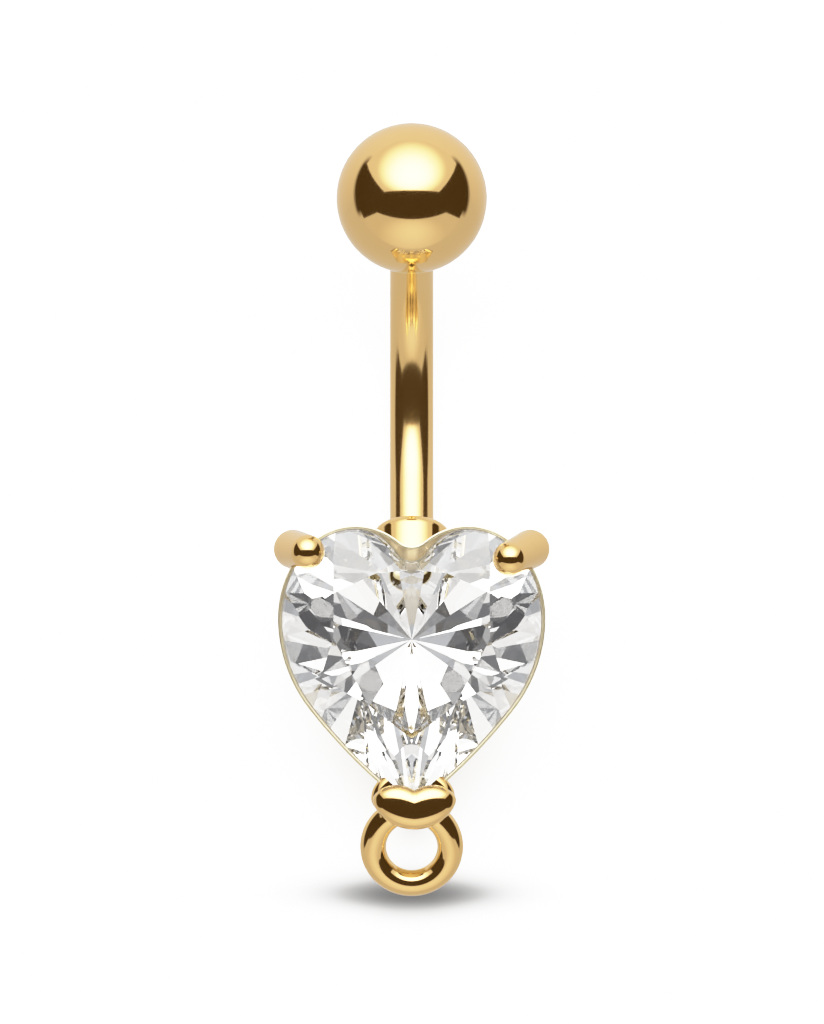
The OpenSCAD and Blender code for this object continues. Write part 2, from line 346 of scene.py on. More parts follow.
def carved(shape: Shape, tool: Shape, how: str = "DIFFERENCE") -> Shape:
    """Joins two closed surfaces, or takes one away from the other.

    Args:
        shape: The surface to work on.
        tool: The surface that is added or taken away.
        how: Blender's name of the operation.

    Returns:
        The new surface.
    """
    objects = []
    for part in (welded(shape, CARVE_WELD), welded(tool, CARVE_WELD)):
        mesh = bpy.data.meshes.new("carving")
        mesh.from_pydata(part.points.tolist(), [], part.faces)
        objects.append(in_scene("carving", mesh))
    change = objects[0].modifiers.new("carving", "BOOLEAN")
    change.operation, change.object, change.solver = how, objects[1], "EXACT"
    done = objects[0].evaluated_get(bpy.context.evaluated_depsgraph_get()).to_mesh()
    points = np.array([v.co[:] for v in done.vertices])
    made = Shape(points, [tuple(f.vertices) for f in done.polygons])
    for obj in objects:
        mesh = obj.data
        bpy.data.objects.remove(obj)
        bpy.data.meshes.remove(mesh)
    return made


# The heart's outlines


@dataclass(frozen=True)
class HeartOutline:
    """A heart outline: two half-ellipse lobes, side arcs, a pointed tip and a rounded cleft."""

    lobe_half: float
    cleft_half: float
    lobe_rise: float
    blend: float
    inset: float = 0.0
    lobe_x: float = 2.05
    widest_y: float = 0.8
    side_r: float = 5.4
    side_turn: float = 38.0
    lower_r: float = 20.0
    heart_w: float = 9.74
    steps: tuple[int, int, int, int, int] = (16, 22, 34, 28, 28)

    def smaller(self, inset: float) -> "HeartOutline":
        """The same outline, drawn in by a distance all round."""
        return replace(self, inset=self.inset + inset)

    def lobe(self, angle: float) -> tuple[Array, Array]:
        """Point of the right lobe's ellipse, and the outward direction there.

        Args:
            angle: Angle of the point on the ellipse, in degrees.

        Returns:
            The point and the direction, in plan.
        """
        way = turn(angle)
        size = np.array([self.cleft_half if way[0] < 0 else self.lobe_half, self.lobe_rise])
        return np.array([self.lobe_x, self.widest_y]) + size * way, unit(way / size)

    @property
    def blend_angle(self) -> float:
        """Angle of the lobe at which the cleft's rounding starts."""
        return math.degrees(math.acos((self.blend - self.lobe_x) / self.cleft_half))

    @property
    def blend_circle(self) -> Pair:
        """The cleft's rounding.

        Returns:
            Height of its middle, and its radius.
        """
        p, n = self.lobe(self.blend_angle)
        middle = p - n * p[0] / n[0]
        return float(middle[1]), float(np.linalg.norm(middle - p))

    @property
    def cleft_y(self) -> float:
        """Height of the cleft's bottom."""
        middle, r = self.blend_circle
        return middle - r - self.inset

    @property
    def arc_inset(self) -> float:
        """How far the side and lower arcs are drawn in."""
        return self.inset + (self.heart_w / 2 - self.lobe_x - self.lobe_half)

    def _arcs(self) -> tuple[Array, Array, float]:
        """The arcs down the right side.

        Returns:
            Middles of the side and lower arcs, and the lower arc's angle at the middle line.
        """
        side_mid = np.array([self.heart_w / 2 - self.side_r, self.widest_y])
        down = turn(-self.side_turn)
        lower_mid = side_mid + (self.side_r - self.lower_r) * down
        tip = math.degrees(math.acos(-lower_mid[0] / (self.lower_r - self.arc_inset)))
        return side_mid, lower_mid, tip

    @property
    def tip_y(self) -> float:
        """Height of the pointed tip."""
        _, lower_mid, tip = self._arcs()
        return float(lower_mid[1] - (self.lower_r - self.arc_inset) * math.sin(math.radians(tip)))

    def cleft_points(self) -> list[Array]:
        """Right half of the cleft's rounding, from the middle line.

        Returns:
            The points in plan.
        """
        middle, r = self.blend_circle
        way = -self.lobe(self.blend_angle)[1]
        end = math.degrees(math.atan2(way[1], way[0]))
        return rounded(np.array([0, middle]), r + self.inset, -90, end, self.steps[0])

    def lobe_points(self) -> list[Array]:
        """Right lobe, from the cleft's rounding to the widest place."""
        angles = (sweep_angles(self.blend_angle, 90, self.steps[1])
                  + sweep_angles(90, 0, self.steps[2]))
        return [p - self.inset * n for p, n in map(self.lobe, angles)]

    def side_points(self) -> list[Array]:
        """Right side, from the widest place to just before the tip."""
        side_mid, lower_mid, tip = self._arcs()
        return (rounded(side_mid, self.side_r - self.arc_inset, 0, -self.side_turn, self.steps[3])
                + rounded(lower_mid, self.lower_r - self.arc_inset, -self.side_turn, -tip,
                          self.steps[4]))

    def points(self) -> Array:
        """The whole outline, down the right half and back up the left one.

        Returns:
            Rows of x, y.
        """
        right = self.cleft_points() + self.lobe_points() + self.side_points()
        right.append(np.array([0, self.tip_y]))
        left = [p * [-1, 1] for p in reversed(right[1:-1])]
        return np.array(right + left)


@dataclass(frozen=True)
class HeartPlan:
    """The rim's and the stone's outlines, and the lie of the cup's back edge."""

    lobe_top: float = 4.17
    cleft_blend: float = 0.45
    cleft_half: float = 2.19
    stone_blend: float = 0.53
    rim_edge: float = 0.12
    stone_gap: float = 0.04
    rim_h: float = 0.1
    cup_depth: float = 4.7
    cup_draft: float = 1.0

    @property
    def rim(self) -> HeartOutline:
        """Outer edge of the rim."""
        half = HeartOutline.heart_w / 2 - HeartOutline.lobe_x
        return HeartOutline(half, half, self.lobe_top - HeartOutline.widest_y, self.cleft_blend)

    @property
    def stone(self) -> HeartOutline:
        """Girdle of the stone."""
        inset = self.rim_edge + self.stone_gap
        return HeartOutline(self.rim.lobe_half - inset, self.cleft_half,
                            self.rim.lobe_rise - inset, self.stone_blend)

    def rest_depth(self, y: Array | float) -> Array | float:
        """Depth of the plane that the ring rests on, at a height along the heart."""
        back = self.rim.smaller(self.cup_draft).tip_y
        return -self.cup_depth - math.tan(math.radians(PLACE.tilt)) * (y - back)


PLAN = HeartPlan()


# Finishes


class Nodes:
    """Adds and links the nodes of one tree."""

    def __init__(self, tree: bpy.types.NodeTree) -> None:
        """Keeps the node tree of a material, a group or the world."""
        self.tree = tree

    def link(self, value: object, socket: Socket) -> None:
        """Joins an output to an input, or sets a plain value on it.

        Args:
            value: The output or the value.
            socket: The input.
        """
        if isinstance(value, Socket):
            self.tree.links.new(value, socket)
        else:
            socket.default_value = value

    def put(self, node: bpy.types.Node, **settings: object) -> bpy.types.Node:
        """Sets up a node.

        Args:
            node: The node.
            **settings: Properties of it, or inputs by name with underscores for spaces; an
                input takes a value or an output.

        Returns:
            The node.
        """
        for key, value in settings.items():
            if hasattr(node, key):
                setattr(node, key, value)
            else:
                self.link(value, node.inputs[key.replace("_", " ")])
        return node

    def add(self, kind: str, **settings: object) -> bpy.types.Node:
        """Adds a node of one of Blender's types and sets it up."""
        return self.put(self.tree.nodes.new(kind), **settings)

    def fed(self, kind: str, *values: object, **settings: object) -> bpy.types.Node:
        """Adds a node and fills its inputs in their order.

        Args:
            kind: Blender's type of the node.
            *values: A value or an output for each input, from the first one.
            **settings: As for put.

        Returns:
            The node.
        """
        node = self.add(kind, **settings)
        for value, socket in zip(values, node.inputs):
            self.link(value, socket)
        return node

    def math(self, operation: str, a: object, b: object = 0.0) -> Socket:
        """Output of a maths node for two numbers, each a value or an output."""
        return self.fed("ShaderNodeMath", a, b, operation=operation).outputs[0]

    def measure(self, operation: str, a: object, b: object = (0, 0, 0)) -> Socket:
        """Number that a vector maths node puts out for two vectors."""
        return self.fed("ShaderNodeVectorMath", a, b, operation=operation).outputs["Value"]

    def blend(self, factor: Socket, a: object, b: object) -> Socket:
        """Mixes two colours, each three numbers or an output, by an output from 0 to 1."""
        a, b = (c if isinstance(c, Socket) else (*c, 1) for c in (a, b))
        return self.add("ShaderNodeMix", data_type="RGBA", Factor=factor, A=a, B=b).outputs["Result"]

    def switch(self, mask: object, off: object, on: object) -> Socket:
        """Mixes two shaders: the first where the mask is 0, the second where it is 1."""
        return self.fed("ShaderNodeMixShader", mask, off, on).outputs[0]

    def spread(self, value: Socket, low: float, high: float, to_low: float,
               to_high: float, kind: str = "LINEAR") -> Socket:
        """Maps the range from low to high to the one from to_low to to_high."""
        return self.add("ShaderNodeMapRange", interpolation_type=kind, Value=value, From_Min=low,
                        From_Max=high, To_Min=to_low, To_Max=to_high).outputs["Result"]


@dataclass(frozen=True)
class FineWear:
    """Shader group of handling marks: soft smudges, hairline scratches and a faint ripple."""

    name: str = "fine_wear"
    smudge_scale: float = 520.0
    smudge_rough: float = 0.62
    smudge_range: Pair = (0.42, 0.72)
    grain_scale: float = 420.0
    grain_range: Pair = (0.66, 0.74)
    grain_lays: tuple[tuple[Triple, float], ...] = (
        ((0.3, 0.2, 0.5), 26.0), ((1.1, -0.4, 2.2), 34.0))
    scratch_depth: float = 0.25
    ripple_scale: float = 900.0

    def group(self) -> bpy.types.NodeTree:
        """Makes the node group, once.

        Returns:
            The group.
        """
        if self.name in bpy.data.node_groups:
            return bpy.data.node_groups[self.name]
        tree = bpy.data.node_groups.new(self.name, "ShaderNodeTree")
        for way, names in (("INPUT", ("Size", "Smudge", "Scratch", "Ripple")),
                           ("OUTPUT", ("Smudge", "Scratch", "Height"))):
            for name in names:
                tree.interface.new_socket(name, in_out=way, socket_type="NodeSocketFloat")
        self._fill(Nodes(tree))
        return tree

    def _fill(self, kit: Nodes) -> None:
        """Builds the inside of the group.

        Args:
            kit: Node helper of the group.
        """
        inside, out = kit.add("NodeGroupInput").outputs, kit.add("NodeGroupOutput")
        place = kit.add("ShaderNodeTexCoord").outputs["Object"]
        scaled = kit.add("ShaderNodeVectorMath", operation="SCALE", Vector=place,
                         Scale=inside["Size"]).outputs[0]
        smudge = kit.add("ShaderNodeTexNoise", Scale=self.smudge_scale, Detail=5.0,
                         Roughness=self.smudge_rough, Vector=scaled).outputs["Fac"]
        soft = kit.spread(smudge, *self.smudge_range, 0.0, 1.0)
        lines = []
        for angle, stretch in self.grain_lays:
            lay = kit.add("ShaderNodeMapping", Rotation=angle, Scale=(stretch, 1.0, stretch),
                          Vector=scaled).outputs[0]
            grain = kit.add("ShaderNodeTexNoise", Scale=self.grain_scale, Detail=2.0, Vector=lay)
            lines.append(kit.spread(grain.outputs["Fac"], *self.grain_range, 0.0, 1.0))
        ripple = kit.add("ShaderNodeTexNoise", Scale=self.ripple_scale, Detail=1.5, Vector=scaled)
        scratch = kit.math("MULTIPLY", kit.math("MAXIMUM", *lines), inside["Scratch"])
        wave = kit.math("MULTIPLY", ripple.outputs["Fac"], inside["Ripple"])
        height = kit.math("SUBTRACT", wave, kit.math("MULTIPLY", scratch, self.scratch_depth))
        kit.put(out, Smudge=kit.math("MULTIPLY", soft, inside["Smudge"]), Scratch=scratch,
                Height=height)

    def placed(self, kit: Nodes, size: float, smudge: float, scratch: float,
               ripple: float) -> bpy.types.NodeOutputs:
        """Places the group in a material, with the size of its marks and their strengths."""
        return kit.add("ShaderNodeGroup", node_tree=self.group(), Size=size, Smudge=smudge,
                       Scratch=scratch, Ripple=ripple).outputs


def new_material(name: str) -> tuple[bpy.types.Material, Nodes, bpy.types.Node]:
    """Makes a material with a Principled shader.

    Args:
        name: Name of the material.

    Returns:
        The material, its node helper and its shader node.
    """
    material = bpy.data.materials.new(name)
    material.use_nodes = True
    kit = Nodes(material.node_tree)
    kit.tree.nodes.clear()
    shader = kit.add("ShaderNodeBsdfPrincipled")
    kit.add("ShaderNodeOutputMaterial", Surface=shader.outputs[0])
    return material, kit, shader


@dataclass(frozen=True)
class PolishedGold:
    """Mirror-polished yellow gold colour with faint handling marks, and a painted paler tone where
    it is seen in reflections.
    """

    name: str
    colour: Triple = (0.82, 0.542, 0.228)
    pale: Triple = (0.84, 0.572, 0.258)
    roughness: float = 0.06
    worn_roughness: float = 0.10
    smudge: float = 0.5
    scratch: float = 0.5
    ripple: float = 0.3
    bump_mm: float = 0.0025
    # Painted reflection colour: the paler tone the gold shows wherever it is seen after a bounce, in
    # reflections or through the stone.
    mirrored: Triple = (0.92, 0.79, 0.48)

    def material(self) -> bpy.types.Material:
        """Makes the finished material.

        Returns:
            The material.
        """
        if self.name in bpy.data.materials:
            return bpy.data.materials[self.name]
        material, kit, shader = new_material(self.name)
        wear = FineWear().placed(kit, 1.0, self.smudge, self.scratch, self.ripple)
        tint = kit.blend(wear["Smudge"], self.colour, self.pale)
        # Painted reflection tone: from the first bounce on, the gold shows the paler mirrored colour
        # instead of its own.
        depth = kit.add("ShaderNodeLightPath").outputs["Ray Depth"]
        colour = kit.blend(kit.math("MINIMUM", depth, 1.0), tint, self.mirrored)
        marks = kit.math("MAXIMUM", wear["Smudge"], wear["Scratch"])
        rough = kit.spread(marks, 0.0, 1.0, self.roughness, self.worn_roughness)
        bump = kit.add("ShaderNodeBump", Distance=self.bump_mm * MM, Height=wear["Height"])
        kit.put(shader, Metallic=1.0, Base_Color=colour, Roughness=rough, Normal=bump.outputs[0])
        return material


@dataclass(frozen=True)
class CutStone:
    """Clear, bright, colourless cut stone."""

    name: str = "clear_cut_stone"
    ior: float = 2.16
    colour: Triple = (0.985, 0.988, 0.995)
    cloudy: Triple = (0.965, 0.97, 0.985)
    wear_size: float = 0.8
    smudge: float = 0.6

    def material(self) -> bpy.types.Material:
        """Makes the finished material.

        Returns:
            The material.
        """
        material, kit, shader = new_material(self.name)
        wear = FineWear().placed(kit, self.wear_size, self.smudge, 0.0, 0.0)
        tint = kit.blend(wear["Smudge"], self.colour, self.cloudy)
        kit.put(shader, Transmission_Weight=1.0, Roughness=0.0, IOR=self.ior, Base_Color=tint)
        return material


SATIN_GOLD = PolishedGold("satin_inside", colour=(0.93, 0.87, 0.74), pale=(0.95, 0.90, 0.80),
                          roughness=0.38, worn_roughness=0.5, ripple=0.3,
                          mirrored=(0.94, 0.88, 0.76))
# Painted highlight: the rim's gold is paler and creamier than the rest of the metal, so the rim
# shows as a thin pale line.
RIM_GOLD = PolishedGold("rim_painted_highlight", colour=(0.97, 0.88, 0.62), pale=(0.98, 0.90, 0.68),
                        roughness=0.30, worn_roughness=0.36)
LIP_GOLD = PolishedGold("satin_lip", colour=(0.93, 0.77, 0.50), pale=(0.94, 0.80, 0.55),
                        roughness=0.34, worn_roughness=0.42, mirrored=(0.94, 0.84, 0.64))
BALL_GOLD = PolishedGold("ball_gold", roughness=0.075, ripple=0.15)
BAR_GOLD = PolishedGold("bar_gold", roughness=0.13, worn_roughness=0.17, ripple=0.15)
CAST_GOLD = PolishedGold("cast_gold", roughness=0.07, worn_roughness=0.13, ripple=0.5)


def dress(obj: Piece, node: str = "setting", finish: PolishedGold | CutStone = CAST_GOLD,
          body: Body = Body.RING) -> None:
    """Gives a piece its finish and ties it to the CAD model.

    Args:
        obj: The piece.
        node: CAD node that it stands for.
        finish: Its finish.
        body: Body that it rides on.
    """
    obj.data.materials.append(finish.material())
    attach(obj, body.value)
    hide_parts(node)
    log.info("%s: %d faces, rides on %s", obj.name, len(obj.data.polygons), body.value)


# The pieces


def bar_turn(angle: float) -> Array:
    """Unit vector in the plane of the bar, at an angle in degrees from the way up the heart."""
    return np.append(0.0, turn(angle))


@dataclass
class CurvedBar:
    """The bent bar, with its post in the ball and its spigot in the collar."""

    bar_d: float = 1.6
    bend_r: float = 7.0
    low_tilt: float = 24.0
    top_tilt: float = 50.0
    low_straight: float = 1.69
    top_straight: float = 0.75
    post_len: float = 2.6
    spigot_len: float = 1.16
    end_r: float = 0.2
    collar_rise: float = 0.66
    collar_drop: float = 4.69
    sides: int = 72
    bend_steps: int = 64
    straight_steps: int = 8
    end_steps: int = 6

    def __post_init__(self) -> None:
        """Lays out where the bar's parts meet, and the directions of its two ends."""
        self.low_way, self.top_way = bar_turn(-self.low_tilt), bar_turn(self.top_tilt)
        self.mouth = np.array([0, PLAN.rim.cleft_y + self.collar_rise,
                               PLAN.rim_h - self.collar_drop])
        self.bend_start = self.mouth + self.low_straight * self.low_way
        self.bend_mid = self.bend_start + self.bend_r * bar_turn(90 - self.low_tilt)
        self.bend_end = self.bend_mid + self.bend_r * bar_turn(self.top_tilt - 90)

    def stations(self) -> list[Station]:
        """Rings of the bar, from its spigot to the end of its post.

        Returns:
            The stations.
        """
        r, e, n = self.bar_d / 2, self.end_r, self.straight_steps
        round_end = [(r - e + e * c, e * (1 - s)) for c, s in arc(90, 0, self.end_steps, True)]
        foot = self.mouth - self.spigot_len * self.low_way
        end = self.bend_end + (self.top_straight + self.post_len) * self.top_way
        made = [Station(foot + h * self.low_way, self.low_way, rr) for rr, h in round_end]
        made += straight(foot, self.bend_start, (r, r), n, 1, n)
        made += [Station(self.bend_mid + self.bend_r * bar_turn(a - 90), bar_turn(a), r)
                 for a in sweep_angles(-self.low_tilt, self.top_tilt, self.bend_steps, True)[1:]]
        made += straight(self.bend_end, end, (r, r), n, 1, n - 1)
        made += [Station(end - h * self.top_way, self.top_way, rr)
                 for rr, h in reversed(round_end)]
        return made

    def build(self) -> None:
        """Makes and dresses the bar."""
        obj = swept(self.stations(), self.sides).piece("bar_polished")
        dress(obj, "curved_bar", BAR_GOLD)


@dataclass
class TopBall:
    """The screw-on ball, with the hole for the post and its softened edge."""

    bar: CurvedBar
    ball_d: float = 5.5
    hole_d: float = 1.68
    hole_len: float = 2.7
    lip_r: float = 0.05
    lip_flat: float = 0.6
    last_ring: float = 89.7
    sides: int = 144
    steps: int = 110
    lip_steps: int = 5

    @property
    def middle(self) -> Array:
        """Middle of the ball."""
        return self.bar.bend_end + (self.bar.top_straight + self.ball_d / 2) * self.bar.top_way

    def build(self) -> None:
        """Makes and dresses the ball."""
        r, hole = self.ball_d / 2, self.hole_d / 2
        lip = hole + self.lip_r
        start = -math.degrees(math.acos(lip / r))
        rim = [(r * c, r * s) for c, s in arc(start, self.last_ring, self.steps, True)]
        soft = [(hole + self.lip_r * (1 - c), rim[0][1] + self.lip_r * (1 - s) * self.lip_flat)
                for c, s in arc(0, 90, self.lip_steps)]
        profile = [(0.0, self.hole_len - r), (hole, self.hole_len - r)] + soft + rim
        obj = lathe(profile, self.middle, self.bar.top_way, self.sides).piece("ball_polished")
        dress(obj, "top_ball", BALL_GOLD, Body.BALL)


@dataclass
class Collar:
    """The tube on the back of the cup that holds the bar."""

    bar: CurvedBar
    cup: "Cup"
    collar_d: float = 2.8
    collar_len: float = 1.7
    edge_r: float = 0.38
    socket_depth: float = 1.2
    gap: float = 0.04
    lip_r: float = 0.07
    sides: int = 96
    edge_steps: int = 14
    lip_steps: int = 5

    def build(self) -> None:
        """Makes and dresses the collar."""
        r, hole, e = self.collar_d / 2, self.bar.bar_d / 2 + self.gap, self.edge_r
        top = self.collar_len
        outer = [(r - e + e * c, top - e + e * s) for c, s in arc(0, 90, self.edge_steps, True)]
        inner = [(hole + self.lip_r * (1 - c), top - self.lip_r * (1 - s))
                 for c, s in arc(90, 0, self.lip_steps, True)]
        deep = top - self.socket_depth
        profile = [(0.0, 0.0), (r, 0.0)] + outer + inner + [(hole, deep), (0.0, deep)]
        foot = self.bar.mouth - self.collar_len * self.bar.low_way
        tube = lathe(profile, foot, self.bar.low_way, self.sides)
        obj = carved(tube, self.cup.hollow()).piece("collar_cast")
        dress(obj)


@dataclass
class Cup:
    """The heart-shaped cup: draughted wall, thin rounded rim, sloping inner lip and seat."""

    wall: float = 0.5
    edge_round: float = 0.045
    seat_share: float = 0.14
    seat_gap: float = 0.12
    girdle_t: float = 0.16
    pavilion_h: float = 4.2
    back_round: float = 0.08
    wall_steps: int = 8
    round_steps: int = 5
    lip_steps: int = 4
    seat_steps: int = 3
    inside_steps: int = 6

    def rings(self) -> list[Array]:
        """Rings of the cup, from the back edge up the outside and down the inside.

        Returns:
            The rings.
        """
        rim, e, top = PLAN.rim, self.edge_round, PLAN.rim_h
        back_out = rim.smaller(PLAN.cup_draft).points()
        back_in = rim.smaller(PLAN.cup_draft + self.wall).points()
        b = self.back_round
        low = level(back_out, PLAN.rest_depth(back_out[:, 1]) + b)
        low_in = rim.smaller(PLAN.cup_draft + b).points()
        foot = level(low_in, PLAN.rest_depth(low_in[:, 1]))
        high = level(rim.points(), top - e)
        made = [foot, low] + between(low, high, self.wall_steps) + [high]
        rounds = [(e * (1 - c), s) for c, s in arc(0, 90, self.round_steps, True)[1:]]
        rounds += [(PLAN.rim_edge - e + e * c, s) for c, s in arc(90, 0, self.round_steps, True)]
        made += [level(rim.smaller(inset).points(), top - e + e * s) for inset, s in rounds]
        edge = PLAN.stone.smaller(-PLAN.stone_gap).points()
        lip = level(edge, -self.girdle_t - PLAN.stone_gap)
        seat_low = -self.girdle_t - self.seat_share * self.pavilion_h - self.seat_gap
        seat = level(edge * (1 - self.seat_share), seat_low)
        inside = level(back_in, PLAN.rest_depth(back_in[:, 1]))
        for ring, steps in ((lip, self.lip_steps), (seat, self.seat_steps),
                            (inside, self.inside_steps)):
            made += between(made[-1], ring, steps) + [ring]
        return made

    def build(self) -> None:
        """Makes and dresses the cup: polished outside, rim with a painted pale highlight, satin lip
        and inside.
        """
        rings = self.rings()
        obj = loft(rings, closed=True).piece("heart_cup_cast", crease=40)
        dress(obj)
        for finish in (RIM_GOLD, LIP_GOLD, SATIN_GOLD):
            obj.data.materials.append(finish.material())
        ends = np.cumsum([1 + self.wall_steps, 2 * self.round_steps + 1, self.lip_steps,
                          self.seat_steps + self.inside_steps])
        for face in obj.data.polygons:
            band = face.index // len(rings[0])
            face.material_index = int(np.searchsorted(ends, band, side="right")) % len(ends)

    def hollow(self) -> Shape:
        """The space inside the cup below the girdle, which nothing else reaches into."""
        inner = PLAN.rim.smaller(PLAN.cup_draft + self.wall).points()
        return prism(inner, -3 * PLAN.cup_depth, -self.girdle_t)


@dataclass
class Claw:
    """A round claw that rises outside the rim, bends and leans over the stone."""

    seat: "StoneSeat"
    name: str
    side: int
    reach: float
    lean: float
    angle: float = 43.7
    out: float = 0.28
    bend_d: float = 1.44
    tip_d: float = 1.28
    bend_h: float = -0.65
    tip_h: float = 0.85
    root_depth: float = 3.0
    root_d: float = 1.0
    sides: int = 48
    rise_steps: int = 8
    lean_steps: int = 4
    round_steps: int = 14

    def build(self) -> None:
        """Makes and dresses the claw."""
        foot, out = PLAN.rim.lobe(self.angle)
        along = np.array([-out[1], out[0]])
        draft = PLAN.cup_draft * self.root_depth / PLAN.cup_depth
        root = np.append(foot - draft * out, -self.root_depth)
        bend = np.append(foot + self.out * out, self.bend_h)
        tip = np.append(foot - self.reach * out + self.lean * along, self.tip_h)
        rise, lean = unit(bend - root), unit(tip - bend)
        r_root, r_bend, r_tip = self.root_d / 2, self.bend_d / 2, self.tip_d / 2
        up, over = self.rise_steps, self.lean_steps
        stations = dome(root, rise, r_root, up, True)
        stations += straight(root, bend, (r_root, r_bend), up, 0, up - 1)
        stations += [Station(bend, unit(rise * (1 - t) + lean * t), r_bend)
                     for t in shares(self.round_steps)]
        stations += straight(bend, tip, (r_bend, r_tip), over, 1, over)
        stations += dome(tip, lean, r_tip, self.round_steps, False)
        shape = swept(stations, self.sides)
        if self.side < 0:
            shape = shape.mirrored()
        obj = self.seat.clear(shape).piece(self.name, crease=50)
        dress(obj)


@dataclass
class TipProng:
    """The bow-shaped pad that wraps the heart's tip, on its tapered body."""

    seat: "StoneSeat"
    aside: float = 0.1
    half_w: float = 1.516
    end_rise: float = 0.37
    foot_drop: float = 0.71
    belly: float = 0.62
    notch_rise: float = 0.73
    hump: float = 0.2
    hump_at: float = 0.45
    end_round: float = 1.6
    thick: float = 0.62
    squareness: float = 2.7
    height: float = 0.45
    root_depth: float = 3.0
    taper: float = 0.14
    back_size: Triple = (1.53, 1.12, 0.85)
    back_rise: float = 0.44
    back_h: float = 0.24
    back_round: float = 0.34
    back_foot: float = 0.72
    back_waist: Pair = (-1.2, 0.97)
    wall_inset: float = 0.3
    wall_reach: Pair = (-9.0, 3.0)
    back_sides: int = 96
    stations: int = 72
    sides: int = 40
    body_steps: int = 10
    round_steps: int = 10
    weld: float = 3e-3

    def _edges(self, t: float) -> Pair:
        """Heights of the pad's lower and upper edges.

        Args:
            t: Distance from the middle line as a share of the half width.

        Returns:
            Lower and upper edge, over the heart's tip.
        """
        low = self.end_rise - (self.end_rise + self.foot_drop) * (1 - t * t) ** self.belly
        near = 1 - (1 - min(t / self.hump_at, 1)) ** 2
        past = max(t - self.hump_at, 0) / (1 - self.hump_at)
        top = self.notch_rise - self.end_rise + self.hump * near
        return low, self.end_rise + top * math.sqrt(max(1 - past ** self.end_round, 0))

    def _section(self, x: float) -> Array:
        """Front of the pad across one station, from its upper edge to its lower one.

        Args:
            x: Place of the station.

        Returns:
            Rows of x, y, z.
        """
        t = min(abs(x) / self.half_w, 1)
        low, top = self._edges(t)
        half, mid = max(top - low, 2e-3) / 2, (top + low) / 2 + PLAN.rim.tip_y
        deep = self.thick * math.sqrt(max(1 - t ** 4, 1e-5))
        power = 2 / self.squareness
        return np.array([[x + self.aside, mid + half * math.copysign(abs(c) ** power, c),
                          self.height + deep * abs(q) ** power]
                         for c, q in arc(0, 180, self.sides, True)])

    def build(self) -> None:
        """Makes and dresses the prong."""
        sections = [self._section(self.half_w * c) for c, _ in arc(180, 0, self.stations, True)]
        n, m = len(sections), len(sections[0])
        faces = [(i * m + j, i * m + j + 1, (i + 1) * m + j + 1, (i + 1) * m + j)
                 for i in range(n - 1) for j in range(m - 1)]
        front = Shape(np.vstack(sections), faces)
        edge = np.array([s[0] for s in sections] + [s[-1] for s in reversed(sections)])
        middle = np.array([self.aside, PLAN.rim.tip_y, self.height])
        rings = []
        for t in shares(self.body_steps):
            ring = middle + (edge - middle) * [1 - self.taper * t, 1 - self.taper * t, 1]
            ring[:, 2] = self.height - (self.height + self.root_depth) * t
            rings.append(ring)
        body = loft(rings)
        body.faces.append(tuple(range(self.body_steps * len(edge), len(body.points))))
        pad = self.seat.clear(welded(front.joined(body), self.weld))
        obj = pad.joined(self._back()).piece("tip_prong_cast", crease=50)
        dress(obj)

    def _back(self) -> Shape:
        """The round wall behind the pad, which shows beside it and hugs the heart's tip.

        Returns:
            The wall as a closed surface.
        """
        wide, tall, drop = self.back_size
        middle = np.array([self.aside * 0.5, PLAN.rim.tip_y + self.back_rise])
        edge, e = self.back_h - self.back_round, self.back_round
        rim = [(-self.root_depth, self.back_foot), self.back_waist, (edge, 1.0)]
        rim += [(edge + e * s, 1 - e / wide * (1 - c))
                for c, s in arc(0, 90, self.round_steps, True)[1:]]
        oval = [np.array([wide, tall if a < 180 else drop]) * turn(a)
                for a in sweep_angles(0, 360, self.back_sides)]
        rings = [level([middle + share * p for p in oval], z) for z, share in rim]
        block = prism(PLAN.rim.smaller(self.wall_inset).points(), *self.wall_reach)
        return carved(loft(rings, caps=True), block)


@dataclass
class CharmLoop:
    """The round loop below the tip that a charm hangs from."""

    hole_d: float = 1.85
    wire_d: float = 0.96
    depth: float = 0.5
    lean: float = 18.0
    steps: int = 120
    sides: int = 48

    def build(self) -> None:
        """Makes and dresses the loop."""
        r = (self.hole_d + self.wire_d) / 2
        top = np.array([0, PLAN.rim.tip_y, -self.depth])
        c, s = turn(self.lean)
        stations = []
        for a in sweep_angles(0, 360, self.steps):
            out, way = turn(a), turn(a + 90)
            middle = top + r * np.array([out[0], c * (out[1] - 1), s * (out[1] - 1)])
            stations.append(Station(middle, np.array([way[0], c * way[1], s * way[1]]),
                                    self.wire_d / 2))
        ring = swept(stations, self.sides, closed=True, across=np.array([0, -s, c]))
        dress(ring.piece("charm_loop_cast"))


@dataclass
class Plane:
    """A flat cut: everything beyond it is taken away."""

    way: Array
    reach: float

    def beyond(self, point: Array) -> float:
        """How far a point lies beyond the cut."""
        return float(np.dot(point, self.way)) - self.reach


